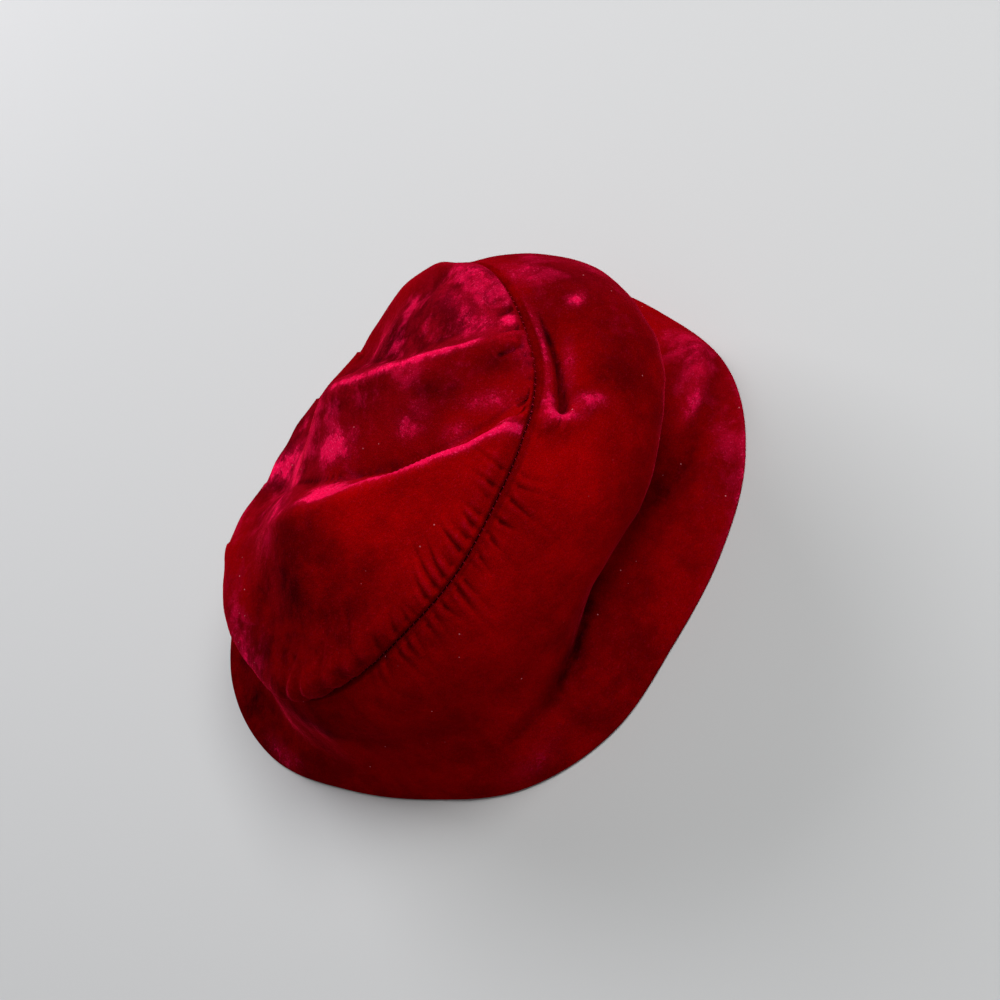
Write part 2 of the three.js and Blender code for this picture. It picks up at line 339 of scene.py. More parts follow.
# Sections and long folds, with the same numbers as the solids of the part.
SIDE_SECTIONS = SectionTable(
    (
        "hem_r", "flare_r", "flare_z", "crease_r", "crease_z",
        "belly_r", "belly_z", "neck_r", "neck_z", "seam_r", "seam_z",
    ),
    (
        (120.5, 113, 10, 100, 18, 110, 49, 99, 78, 80, 97),
        (120, 113, 10, 99, 18, 103, 45, 91, 68, 79, 84),
        (119, 111, 9, 97, 18, 94, 40, 88, 56, 76, 67),
        (116.5, 108, 9, 94, 17, 87, 33, 82, 45, 71, 53),
        (113, 105, 9, 91, 16, 82, 29, 77, 38, 67, 45),
        (111.5, 104, 9, 91, 15, 82, 27, 77, 35, 67, 41),
        (113.5, 106, 8, 95, 14, 87, 25, 82, 33, 72, 39),
        (119.5, 111, 8, 102, 13, 94, 23, 90, 32, 82, 38),
        (127.4, 116, 7, 107, 13, 100, 23, 97, 32, 91, 39),
        (126.3, 117, 7, 109, 13, 104, 24, 101, 33, 96, 42),
        (118.2, 113, 9, 109, 16, 105, 28, 102, 40, 96, 51),
        (115.7, 112, 10, 108, 20, 104, 36, 100, 52, 91, 67),
        (119.4, 115, 11, 109, 25, 102, 45, 97, 64, 86, 82),
        (118.3, 112, 12, 103, 28, 100, 50, 94, 72, 83, 91),
        (112.8, 103, 12, 91, 26, 97, 50, 93, 75, 81, 98),
        (115.4, 104, 11, 87, 22, 103, 50, 98, 77, 80, 99),
        (122.2, 109, 11, 90, 20, 109, 51, 103, 78, 80, 98),
        (125.8, 114, 10, 95, 19, 112, 52, 106, 80, 79, 100),
    ),
)
SIDE_KNOTS = (0, 0.12, 0.27, 0.52, 0.76, 1)

TOP_SECTIONS = SectionTable(
    ("rim_out", "rim_up", "shoulder_z", "mid_z"),
    (
        (-3, 5, 105, 107),
        (-1, 8, 88, 100),
        (1, 8.5, 72.5, 94),
        (2, 8, 62.5, 91),
        (3, 10, 60, 88),
        (4, 10, 63, 88),
        (2, 9, 66.5, 92),
        (3, 9, 79, 95),
        (-4, 5, 92, 101),
        (-5, 3, 100, 105),
        (-4, 2.5, 104, 108),
        (-4, 3, 107, 110),
    ),
)
TOP_KNOTS = (0, 0.09, 0.31, 0.63, 1)

TOP_FOLDS = (
    Fold("ridge of the front lobe", ((-66, 40), (-17, -33), (46, -69)), 26, 7, (2, 8, 4), 1.4),
    Fold("valley behind the front lobe", ((-42, 60), (-8, -21), (47, -57)), 8, 16, (-5, -8, -3), 1.4),
    Fold("ridge of the middle lobe", ((0, 58), (26, -9), (74, -42)), 22, 7, (2, 7, 2.5), 1.4),
    Fold("valley behind the middle lobe", ((24, 58), (35, 3), (77, -28)), 8, 15, (-5, -6, -2), 1.4),
)

SIDE_FOLDS = (
    Fold("ridge across the right of the brim", ((347, 0.03), (336, 0.15), (320, 0.25)), 9, 10, (3, 5, 3)),
    Fold("valley beside that ridge", ((333, 0.05), (324, 0.15), (311, 0.24)), 11, 9, (-2, -4, -2)),
    Fold("tuck beside the seam", ((346, 0.95), (328, 0.928), (309, 0.912)), 6, 4, (0, -2.5, -3.5)),
    Fold("ridge running on from the front lobe", ((305, 0.97), (309, 0.92), (317, 0.82)), 5, 5, (3, 2.5, 0)),
    Fold("fold under the left bulge", ((203, 0.85), (206, 0.6), (205, 0.25)), 8, 10, (0.5, 1.5, 0.5)),
    Fold("dent in the front of the brim", ((232, 0.1), (236, 0.3), (244, 0.5)), 12, 12, (0, -2.5, 0)),
)

# Fine folds of the looks: those of the top by plan place, those of the side by angle and share.
TOP_CRESTS = (
    Fold("sharp crest of the front lobe", ((-40, 4), (4, -47), (46, -69)), 6, 1.8, (0.5, 1.8, 1.0), 1.2),
    Fold("sharp crest of the middle lobe", ((2, 30), (27, -13), (59, -34)), 6, 1.8, (0.4, 1.2, 0.1), 1.2),
)
FINE_TOP_FOLDS = (
    *TOP_CRESTS,
    Fold("drop behind the front crest", ((-28, 6), (9, -41), (48, -63)), 2.2, 5, (-1, -2.5, -2), 1.6),
    Fold("drop behind the middle crest", ((10, 30), (33, -6), (62, -29)), 2.2, 5, (-1, -1.5, -0.2), 1.6),
    Fold("pleat at the end of the crest", ((32, -61), (40, -64), (49, -65)), 1.6, 1.4, (0, 1.6, 1.4), 1.5),
    Fold("first right gather", ((66, -24), (69.5, -25.2), (73, -26.2)), 1.3, 1.3, (0, -1.2, -1.4), 1.6),
    Fold("second right gather", ((61, -32.5), (65, -34.6), (70, -35.5)), 1.4, 1.4, (0, -1.3, -1.6), 1.6),
    Fold("third right gather", ((55, -41), (59.5, -42.3), (64.5, -43.4)), 1.6, 1.6, (0, -1.6, -1.4), 1.6),
    Fold("fourth right gather", ((46, -57.5), (49.5, -58.6), (53, -58.8)), 1.4, 1.4, (0, -1.4, -1.6), 1.6),
)
FINE_SIDE_FOLDS = (
    Fold("deep end of the tuck", ((342, 0.96), (325, 0.938), (309.5, 0.908)), 2.0, 1.2, (0, -1.8, -4.2), 1.4),
    Fold("welt above the tuck", ((342, 0.985), (326, 0.975), (309, 0.962)), 3.0, 3.0, (0.3, 1.0, 1.2), 2.0),
    Fold(
        "crest on over the side",
        ((304.5, 0.985), (308, 0.905), (315, 0.8)), 6.0, 3.4, (-0.4, 2.2, 0.4), 1.6,
    ),
    Fold("pleat under the crest", ((301, 0.985), (302, 0.95), (304, 0.915)), 2.0, 1.6, (-0.3, -0.35, 0), 1.8),
    Fold("ridge of the brim's right", ((353, 0.02), (337, 0.13), (316, 0.235)), 3.8, 3.8, (0, 3.8, 0), 1.6),
    Fold("hollow below that ridge", ((336, 0.06), (320, 0.17), (298, 0.26)), 6, 5, (0, -3.4, 0), 1.8),
    Fold("groove under the belly", ((305, 0.42), (276, 0.29), (244, 0.22)), 5, 6, (0, -3.6, -1.4), 1.7),
)

# Places on the top are plan coordinates.
TOP_PATCHES: dict[Pile, tuple[Dab, ...]] = {
    # Pile laid one way, partly painted sheen on the far lobes and along the left rim.
    Pile.BRUSHED_AND_SHEEN: (
        Dab((22, 18), 34, 1.5, 115, 1.0),
        Dab((66, -2), 22, 1.6, 100, 1.0),
        Dab((-93, 4), 9, 2.8, 70, 0.9),
        Dab((-40, 30), 24, 1.2, 120, 1.0),
        Dab((-24, 60), 16, 2.4, 155, 1.0),
    ),
    # Crushed pile patches, and painted highlights along the crest lines and the left rim.
    Pile.PRESSED_AND_HIGHLIGHT: (
        Dab((-10, 1), 5.5, 2.0, 117, 1.0),
        Dab((-23, -13), 5, 2.2, 128, 0.9),
        Dab((76, 2), 4, 4.0, 95, 0.4),
        Dab((-44, 14), 5, 1.8, 120, 0.5),
        Dab((-97, -2), 3.2, 5.0, 70, 0.45),
        Dab((-31, 57), 6, 1.8, 150, 0.7),
        Dab((-28, 38), 8, 1.4, 60, 0.9),
        Dab((15, -31), 4, 1.4, 128, 0.62),
        Dab((41, -50), 3.4, 2.2, 140, 0.5),
        Dab((24, -47), 3.5, 1.8, 140, 0.35),
        Dab((68, -30.5), 2.6, 1.5, 60, 0.75),
        Dab((60, -22), 6, 1.8, 100, 0.35),
        Dab((62, -3), 4.5, 2.2, 100, 0.25),
    ),
    # Painted shade, and painted light where a strength is below zero.
    Pile.SHADED: (
        Dab((-4, -56), 26, 1.4, 140, -0.3),
        Dab((-76, -30), 30, 1.4, 120, 0.44),
        Dab((-58, 4), 17, 1.6, 120, 0.24),
        Dab((-10, 58), 12, 1.8, 160, 0.2),
        Dab((44, 22), 12, 1.5, 110, 0.15),
        Dab((13, -9), 6, 2.0, 132, 0.25),
        Dab((31, -32), 5, 2.4, 127, 0.36),
        Dab((54, -44), 4.5, 3.4, 150, 0.32),
        Dab((3, 9), 4, 2.2, 120, 0.3),
        Dab((32, 25), 10, 1.7, 115, 0.45),
    ),
}
# Places on the side are an angle and a share of the way up from the hem.
SIDE_PATCHES: dict[Pile, tuple[Dab, ...]] = {
    # Pile laid one way, partly painted sheen along the right of the brim and its hem.
    Pile.BRUSHED_AND_SHEEN: (
        Dab((345, 0.1), 13, 1.7, 150, 0.65),
        Dab((322, 0.03), 8, 3.4, 0, 0.42),
        Dab((352, 0.72), 24, 1.3, 0, 0.6),
    ),
    # Crushed pile patches, and painted highlights along the hem, the brim's ridge and the tuck's edge.
    Pile.PRESSED_AND_HIGHLIGHT: (
        Dab((318, 0.0), 2.2, 22.0, 0, 0.5),
        Dab((354, 0.92), 5, 2.0, 0, 0.35),
        Dab((339.5, 0.845), 2.2, 1.9, 145, 0.7),
        Dab((313, 0.845), 3.0, 2.0, 110, 0.58),
        Dab((308, 0.905), 2.4, 2.6, 115, 0.75),
        Dab((310, 0.955), 2.6, 2.4, 10, 0.6),
        Dab((322, 0.905), 1.8, 6.0, 0, 0.3),
        Dab((327, 0.972), 1.6, 15.0, 0, 0.42),
        Dab((183, 0.067), 6, 1.6, 0, 0.35),
        Dab((244, 0.1), 5, 2.2, 20, 0.2),
        Dab((344, 0.09), 4, 2.2, 150, 0.25),
        Dab((332, 0.15), 1.9, 4.2, 155, 0.48),
    ),
    # Painted shade under the bulges and in the grooves, and painted light where a strength is below zero.
    Pile.SHADED: (
        Dab((318, 0.77), 12, 1.6, 0, 0.2),
        Dab((290, 0.82), 14, 2.6, 0, -0.3),
        Dab((266, 0.78), 17, 2.2, 0, -0.3),
        Dab((262, 0.08), 12, 3.0, 0, 0.16),
        Dab((190, 0.75), 16, 2.2, 0, 0.46),
        Dab((302, 0.4), 12, 2.4, 25, 0.2),
        Dab((262, 0.27), 8, 3.6, 10, 0.36),
        Dab((320, 0.25), 9, 2.4, 25, 0.12),
        Dab((294, 0.12), 20, 2.8, 0, 0.1),
        Dab((166, 0.12), 20, 2.0, 0, 0.5),
        Dab((176, 0.45), 14, 1.8, 0, 0.3),
        Dab((318, 0.19), 6, 4.0, 162, 0.05),
        Dab((204, 0.69), 7, 2.4, 135, 0.32),
        Dab((345, 0.8), 26, 1.6, 0, 0.16),
    ),
}


@dataclass(frozen=True)
class ClothForm:
    """The draped shape that both panels share, without its fine folds."""

    SIDE_RINGS: ClassVar[tuple[str, ...]] = ("hem", "flare", "crease", "belly", "neck", "seam")
    PROBE_DEGREES: ClassVar[float] = 0.4
    PROBE_SHARE: ClassVar[float] = 0.004

    cloth: float = 2.0
    seam_gap: float = 0.3
    seam_arm: float = 2.8
    wide_arm: float = 4.5
    allowance: float = 8.0
    side_length: float = 112.0
    top_length: float = 90.0
    mm_per_degree: float = 1.7
    shift: Triple = (2.68, 2.4, 0.0)
    shoulder_share: float = 0.78
    mid_share: float = 0.42
    middle: Triple = (6.0, -8.0, 104.0)
    hem_fade: float = 0.12
    seam_fade: float = 0.05
    rim_fade: float = 0.1

    def side_plan(self, deg: Values, v: Values, origin: float) -> tuple[Values, Values]:
        """Plan coordinates on the side panel, measured along the cloth from an angle."""
        return np.broadcast_arrays(turn(deg - origin) * self.mm_per_degree, v * self.side_length)

    def side_fold_on_plan(self, fold: Fold) -> Fold:
        """A side fold with its points, given as angle and share of the way up, in millimetres."""
        origin = fold.points[0][0]
        points = tuple(((d - origin) * self.mm_per_degree, v * self.side_length) for d, v in fold.points)
        return replace(fold, points=points)

    def side_fold_height(self, folds: tuple[Fold, ...], deg: Values, v: Values) -> Values:
        """Summed height of folds of the side panel."""
        total = np.zeros(np.broadcast(deg, v).shape)
        for fold in folds:
            x, y = self.side_plan(deg, v, fold.points[0][0])
            total += self.side_fold_on_plan(fold).height(x, y)
        return total

    def side_base(self, deg: Values, v: Values) -> Values:
        """The side panel without folds; v runs from the hem to the seam."""
        radii = [SIDE_SECTIONS.at(f"{ring}_r", deg) for ring in self.SIDE_RINGS]
        heights = [np.zeros_like(radii[0])]
        heights += [SIDE_SECTIONS.at(f"{ring}_z", deg) for ring in self.SIDE_RINGS[1:]]
        return polar(deg, along(SIDE_KNOTS, radii, v), along(SIDE_KNOTS, heights, v))

    def outward(self, surface: Surface, deg: Values, t: Values) -> Values:
        """Outward direction of a surface of the hat."""
        across = surface(deg + self.PROBE_DEGREES, t) - surface(deg - self.PROBE_DEGREES, t)
        above, below = np.minimum(t + self.PROBE_SHARE, 1.0), np.maximum(t - self.PROBE_SHARE, 0.0)
        return unit(np.cross(across, surface(deg, above) - surface(deg, below)))

    def side(self, deg: Values, v: Values) -> Values:
        """The side panel with its folds, which die out at the hem and the seam."""
        fade = smoothstep(v, 0.0, self.hem_fade) * smoothstep(1.0 - v, 0.0, self.seam_fade)
        height = self.side_fold_height(SIDE_FOLDS, deg, v) * fade
        return self.side_base(deg, v) + self.outward(self.side_base, deg, v) * height[..., None]

    def top(self, deg: Values, u: Values) -> Values:
        """The top panel with its long folds; u runs from the seam to the middle."""
        seam = self.side_base(deg, np.ones_like(deg))
        seam_r, seam_z = np.hypot(seam[..., 0], seam[..., 1]), seam[..., 2]
        rim_out, rim_up, shoulder, mid = (TOP_SECTIONS.at(n, deg) for n in TOP_SECTIONS.columns)
        ones = np.ones_like(seam_r)
        shares = [ones, 1 + rim_out / seam_r, self.shoulder_share * ones, self.mid_share * ones, 0 * ones]
        heights = [seam_z, seam_z + rim_up, shoulder, mid, self.middle[2] * ones]
        end_slope = (TOP_SECTIONS.at("mid_z", deg + 180.0) - mid) / (2 * (1 - TOP_KNOTS[3]))
        share = along(TOP_KNOTS, shares, u)
        x = self.middle[0] + (seam[..., 0] - self.middle[0]) * share
        y = self.middle[1] + (seam[..., 1] - self.middle[1]) * share
        folds = sum(fold.height(x, y) for fold in TOP_FOLDS)
        z = along(TOP_KNOTS, heights, u, end_slope) + folds * smoothstep(u, 0.0, self.rim_fade)
        return np.stack(np.broadcast_arrays(x, y, z), axis=-1)

    def seam_frame(self, deg: Values) -> tuple[Values, Values, Values]:
        """Directions at the seam.

        Args:
            deg: Angles round the hat, one row.

        Returns:
            Seam points, the direction into the hat between the turned-in edges, and the direction
            across them to the top panel.
        """
        seam = self.side_base(deg, np.ones_like(deg))
        radial = polar(deg, np.ones_like(deg), np.zeros_like(deg))
        up = np.array([0.0, 0.0, 1.0])

        def flat(vectors: Values) -> Values:
            """The vectors laid into the upright plane through the axis."""
            level = radial * (vectors * radial).sum(-1, keepdims=True)
            return unit(level + up * vectors[..., 2:3])

        to_side = flat(self.side(deg, np.full_like(deg, 1 - self.wide_arm / self.side_length)) - seam)
        to_top = flat(self.top(deg, np.full_like(deg, self.wide_arm / self.top_length)) - seam)
        spread = to_side - to_top
        inwards = unit(radial * spread[..., 2:3] - up * (spread * radial).sum(-1, keepdims=True))
        across = unit(to_top - inwards * (to_top * inwards).sum(-1, keepdims=True))
        return seam, inwards, across


def smooth_outward(bm: bmesh.types.BMesh) -> None:
    """Turns the faces of a mesh outwards and shades them smoothly."""
    bmesh.ops.recalc_face_normals(bm, faces=bm.faces[:])
    for face in bm.faces:
        face.smooth = True


def linked(name: str, bm: bmesh.types.BMesh) -> bpy.types.Object:
    """Makes an object of a finished mesh and links it to the scene."""
    mesh = bpy.data.meshes.new(name)
    bm.to_mesh(mesh)
    bm.free()
    piece = bpy.data.objects.new(name, mesh)
    bpy.context.scene.collection.objects.link(piece)
    return piece


def report(piece: bpy.types.Object) -> None:
    """Logs a finished piece."""
    LOG.info("%s: %d vertices, %d faces", piece.name, len(piece.data.vertices), len(piece.data.polygons))


@dataclass
class SpunGrid:
    """A grid made by spinning a chain of points, ready to be draped."""

    rows: int
    columns: int
    closed: bool
    slices: int = 8
    merge_distance: float = 1e-5

    def spin(self) -> bmesh.types.BMesh:
        """Spins the chain of points into a grid.

        Returns:
            A mesh whose height holds the row and whose angle holds the column. An open chain has
            both ends on the axis, and they close to poles.
        """
        bm = bmesh.new()
        ends = () if self.closed else (0, self.rows - 1)
        chain = [bm.verts.new((0.0 if k in ends else 1.0, 0.0, float(k))) for k in range(self.rows)]
        edges = [bm.edges.new(pair) for pair in zip(chain, chain[1:])]
        if self.closed:
            edges.append(bm.edges.new((chain[-1], chain[0])))
        about = {"cent": (0, 0, 0), "axis": (0, 0, 1), "dvec": (0, 0, 0)}
        angle, steps = 2 * math.pi / self.slices, self.columns // self.slices
        bmesh.ops.spin(bm, geom=chain + edges, angle=angle, steps=steps, **about)
        whole, rest = bm.verts[:] + bm.edges[:] + bm.faces[:], self.slices - 1
        bmesh.ops.spin(bm, geom=whole, angle=angle * rest, steps=rest, use_duplicate=True, **about)
        bmesh.ops.remove_doubles(bm, verts=bm.verts[:], dist=self.merge_distance)
        return bm

    def drape(self, name: str, points: Values, layers: dict[str, Values]) -> bpy.types.Object:
        """Moves the spun grid to its place on the hat and makes an object of it.

        Args:
            name: The object's name.
            points: A point for each row and column.
            layers: Values for each row and column, kept as attributes of the mesh.

        Returns:
            The object, linked to the scene.
        """
        bm = self.spin()
        spun = np.array([vertex.co[:] for vertex in bm.verts])
        row = np.rint(spun[:, 2]).astype(int)
        step = 360.0 / self.columns
        column = np.rint(np.degrees(np.arctan2(spun[:, 1], spun[:, 0])) / step).astype(int) % self.columns
        for vertex, place in zip(bm.verts, points[row, column] * MM):
            vertex.co = place
        smooth_outward(bm)
        piece = linked(name, bm)
        for layer, values in layers.items():
            attribute = piece.data.attributes.new(layer, "FLOAT", "POINT")
            attribute.data.foreach_set("value", values[row, column])
        return piece


class NodeSheet:
    """Adds and joins the nodes of one tree. An input is a socket, a number or a colour."""

    def __init__(self, tree: bpy.types.NodeTree) -> None:
        """Keeps the tree that the nodes go into."""
        self.tree = tree

    def find(self, kind: str) -> bpy.types.Node:
        """The tree's first node of a kind."""
        return next(node for node in self.tree.nodes if node.type == kind)

    def add(self, kind: str, **options: object) -> bpy.types.Node:
        """Adds a node and sets its own options."""
        node = self.tree.nodes.new(kind)
        for name, value in options.items():
            setattr(node, name, value)
        return node

    def feed(self, socket: Socket, value: object) -> None:
        """Joins a socket to a socket, or sets it to a number or a colour."""
        if isinstance(value, Socket):
            self.tree.links.new(value, socket)
        elif isinstance(value, tuple):
            socket.default_value = (*value, 1.0)
        else:
            socket.default_value = value

    def fill(self, node: bpy.types.Node, inputs: dict[str, object]) -> bpy.types.Node:
        """Feeds the named inputs of a node, and gives the node back."""
        for name, value in inputs.items():
            self.feed(node.inputs[name], value)
        return node

    def math(self, operation: str, a: object, b: object, clamp: bool = False) -> Socket:
        """A sum, product or the like of two values."""
        node = self.add("ShaderNodeMath", operation=operation, use_clamp=clamp)
        for socket, value in zip(node.inputs, (a, b)):
            self.feed(socket, value)
        return node.outputs[0]

    def weighted(self, terms: list[tuple[Socket, float]]) -> Socket:
        """A sum of values, each times its weight."""
        total = None
        for value, weight in terms:
            term = value if weight == 1.0 else self.math("MULTIPLY", value, weight)
            total = term if total is None else self.math("ADD", total, term)
        return total

    def span(self, value: object, a: float, b: float, c: float = 0.0, d: float = 1.0) -> Socket:
        """A value carried softly from the range a to b into the range c to d."""
        node = self.add("ShaderNodeMapRange", interpolation_type="SMOOTHSTEP")
        for socket, given in zip(node.inputs, (value, a, b, c, d)):
            self.feed(socket, given)
        return node.outputs[0]

    def mix(self, share: object, a: object, b: object) -> Socket:
        """A colour between two colours."""
        node = self.add("ShaderNodeMix", data_type="RGBA")
        sockets = {socket.identifier: socket for socket in node.inputs}
        for name, value in (("Factor_Float", share), ("A_Color", a), ("B_Color", b)):
            self.feed(sockets[name], value)
        return next(socket for socket in node.outputs if socket.identifier == "Result_Color")

    def noise(self, vector: Socket, scale: float, detail: float, roughness: float) -> Socket:
        """Noise on a vector."""
        inputs = {"Vector": vector, "Scale": scale, "Detail": detail, "Roughness": roughness}
        return self.fill(self.add("ShaderNodeTexNoise"), inputs).outputs[0]

    def object_place(self) -> Socket:
        """Object coordinates."""
        return self.add("ShaderNodeTexCoord").outputs["Object"]

    def attribute(self, name: str) -> Socket:
        """A value kept on the mesh."""
        return self.add("ShaderNodeAttribute", attribute_type="GEOMETRY", attribute_name=name).outputs["Fac"]

    def bump(self, height: Socket, strength: float, depth_m: float, normal: Socket | None = None) -> Socket:
        """A normal that follows a height, over another normal if one is given."""
        node = self.add("ShaderNodeBump")
        self.fill(node, {"Height": height, "Strength": strength, "Distance": depth_m})
        if normal is not None:
            self.feed(node.inputs["Normal"], normal)
        return node.outputs["Normal"]


def new_material(name: str) -> tuple[bpy.types.Material, NodeSheet, bpy.types.Node]:
    """A new material with its node sheet and its shader."""
    material = bpy.data.materials.new(name)
    material.use_nodes = True
    sheet = NodeSheet(material.node_tree)
    return material, sheet, sheet.find("BSDF_PRINCIPLED")


class CrushedPile:
    """The shared effect of a crushed velvet pile.

    NOISES holds scale, detail and roughness. MASKS are sums of noises, each times its share, carried
    from a range into a range, and HEIGHTS are plain sums.
    """

    NOISES: ClassVar[dict[str, Triple]] = {
        "broad": (58.0, 4.0, 0.6),
        "middle": (170.0, 5.0, 0.68),
        "fine": (900.0, 2.0, 0.6),
        "strand": (2600.0, 1.0, 0.5),
        "glint": (1300.0, 1.0, 0.5),
        "blot": (75.0, 3.0, 0.55),
        "cloud": (38.0, 4.0, 0.62),
        "rare": (45.0, 0.0, 0.5),
    }
    MASKS: ClassVar[dict[str, tuple[dict[str, float], tuple[float, ...]]]] = {
        "Patch": ({"broad": 1.0, "middle": 0.28}, (0.62, 0.86, 0.0, 0.6)),
        "Breakup": ({"middle": 0.5, "fine": 0.5}, (0.38, 0.62, 0.45, 1.0)),
        "Ragged": ({"middle": 0.8, "fine": 0.2}, (0.34, 0.66, -0.3, 0.3)),
        # Sparkle: painted glints.
        "Sparkle": ({"glint": 1.0}, (0.57, 0.72, 0.0, 0.8)),
        "Mottle": ({"blot": 1.0, "middle": 0.55}, (0.62, 0.94)),
        "Tone": ({"cloud": 1.0, "middle": 0.4}, (0.52, 0.9, 0.0, 0.34)),
        "Grain": ({"strand": 1.0}, (0.36, 0.7, 0.3, 0.0)),
    }
    HEIGHTS: ClassVar[dict[str, dict[str, float]]] = {
        "Lay": {"middle": 0.55, "broad": 1.0},
        "Strands": {"fine": 0.6, "strand": 0.4},
    }
    LINT: ClassVar[str] = "Lint"
    LINT_SCALE: ClassVar[float] = 170.0
    LINT_SPECK: ClassVar[tuple[float, ...]] = (0.03, 0.06, 1.0, 0.0)
    LINT_PLACES: ClassVar[Pair] = (0.52, 0.57)

    def group(self) -> bpy.types.NodeTree:
        """Builds the node group.

        Returns:
            A group from a vector to masks and heights: patches of crushed pile, their breakup and ragged
            edges, painted glints, the mottle, tone and grain of the pile, specks of lint, the lay of the
            pile and single strands.
        """
        tree = bpy.data.node_groups.new("crushed_pile", "ShaderNodeTree")
        tree.interface.new_socket("Vector", in_out="INPUT", socket_type="NodeSocketVector")
        for name in (*self.MASKS, *self.HEIGHTS, self.LINT):
            tree.interface.new_socket(name, in_out="OUTPUT", socket_type="NodeSocketFloat")
        sheet = NodeSheet(tree)
        place = sheet.add("NodeGroupInput").outputs["Vector"]
        noises = {name: sheet.noise(place, *sizes) for name, sizes in self.NOISES.items()}

        def total(shares: dict[str, float]) -> Socket:
            """A sum of noises, each times its share."""
            return sheet.weighted([(noises[name], share) for name, share in shares.items()])

        cells = sheet.fill(sheet.add("ShaderNodeTexVoronoi"), {"Vector": place, "Scale": self.LINT_SCALE})
        speck = sheet.span(cells.outputs["Distance"], *self.LINT_SPECK)
        values = {self.LINT: sheet.math("MULTIPLY", speck, sheet.span(noises["rare"], *self.LINT_PLACES))}
        values |= {name: sheet.span(total(shares), *ranges) for name, (shares, ranges) in self.MASKS.items()}
        values |= {name: total(shares) for name, shares in self.HEIGHTS.items()}
        sheet.fill(sheet.add("NodeGroupOutput"), values)
        return tree


@dataclass(frozen=True)
class VelvetFinish:
    """Crushed pile velvet: deep red face on, crimson where the pile lies crushed or is seen edge on.
    Its colour also carries painted shade, painted highlights, painted sheen and painted glints.

    A bump is a strength and a depth in metres.
    """

    name: str
    # The deep colour takes painted shade and random tone. The colours for laid pile are partly painted sheen,
    # the colour for crushed pile partly painted highlights, and the sparkle colour paints glints.
    deep: Colour
    bright: Colour
    brushed_and_sheen_deep: Colour
    brushed_and_sheen: Colour
    pressed_and_highlight: Colour
    sparkle: Colour
    roots: Colour
    lint: Colour
    sheen_tint: Colour
    sheen_weight: float = 0.6
    sheen_roughness: float = 0.22
    lay_bump: Pair = (0.55, 0.0016)
    strand_bump: Pair = (0.35, 0.0004)
    ragged_edge: Pair = (0.3, 0.75)
    ragged_share: float = 0.5
    stray_glints: float = 0.04
    tone_roughness: tuple[float, ...] = (0.0, 0.2, 0.98, 0.86)

    def press_and_highlight_share(self, sheet: NodeSheet, pile: dict[str, Socket], state: dict[Pile, Socket]) -> Socket:
        """How far the pile lies crushed, with the painted highlights.

        Args:
            sheet: The material's nodes.
            pile: Outputs of the crushed pile.
            state: Values on the mesh of each kind.

        Returns:
            Patches with ragged edges, partly painted highlights, and small ones where the pile lies one way,
            with painted sheen.
        """
        press_and_highlight = state[Pile.PRESSED_AND_HIGHLIGHT]
        ragged = sheet.span(sheet.math("ADD", press_and_highlight, pile["Ragged"]), *self.ragged_edge)
        even = sheet.math("MULTIPLY", press_and_highlight, pile["Breakup"])
        patches = sheet.math("MULTIPLY", sheet.math("ADD", ragged, even), self.ragged_share)
        small = sheet.math("MULTIPLY", state[Pile.BRUSHED_AND_SHEEN], pile["Patch"])
        return sheet.math("ADD", patches, small, clamp=True)

    def colour(self, sheet: NodeSheet, pile: dict[str, Socket], state: dict[Pile, Socket]) -> Socket:
        """The colour of the pile.

        Args:
            sheet: The material's nodes.
            pile: Outputs of the crushed pile.
            state: Values on the mesh of each kind.

        Returns:
            Red to crimson by the lay of the pile and painted sheen, darker with painted shade and random
            tone, pink with painted highlights, with painted glints, dark roots and specks of lint.
        """
        pressed_and_highlight = self.press_and_highlight_share(sheet, pile, state)
        # Painted shade, with the random tone.
        shade = sheet.math("ADD", state[Pile.SHADED], pile["Tone"], clamp=True)
        glints = sheet.math("ADD", pressed_and_highlight, self.stray_glints)
        cloth = sheet.mix(pile["Mottle"], self.brushed_and_sheen_deep, self.brushed_and_sheen)
        cloth = sheet.mix(state[Pile.BRUSHED_AND_SHEEN], self.bright, cloth)
        # Painted shade, painted highlights and painted glints, then the real roots and lint.
        for share, colour in (
            (shade, self.deep),
            (pressed_and_highlight, self.pressed_and_highlight),
            (sheet.math("MULTIPLY", glints, pile["Sparkle"], clamp=True), self.sparkle),
            (pile["Grain"], self.roots),
            (pile["Lint"], self.lint),
        ):
            cloth = sheet.mix(share, cloth, colour)
        return cloth

    def material(self, group: bpy.types.NodeTree) -> bpy.types.Material:
        """Builds the velvet material.

        Args:
            group: The shared node group of the crushed pile.

        Returns:
            The material.
        """
        material, sheet, shader = new_material(self.name)
        crushed = sheet.add("ShaderNodeGroup", node_tree=group)
        pile = sheet.fill(crushed, {"Vector": sheet.object_place()}).outputs
        state = {kind: sheet.attribute(kind.value) for kind in Pile}
        lay = sheet.bump(pile["Lay"], *self.lay_bump)
        inputs = {
            "Base Color": self.colour(sheet, pile, state),
            "Roughness": sheet.span(pile["Tone"], *self.tone_roughness),
            "Normal": sheet.bump(pile["Strands"], *self.strand_bump, lay),
            "Specular IOR Level": 0.0,
            "Sheen Weight": self.sheen_weight,
            "Sheen Roughness": self.sheen_roughness,
            "Sheen Tint": self.sheen_tint,
        }
        sheet.fill(shader, inputs)
        return material


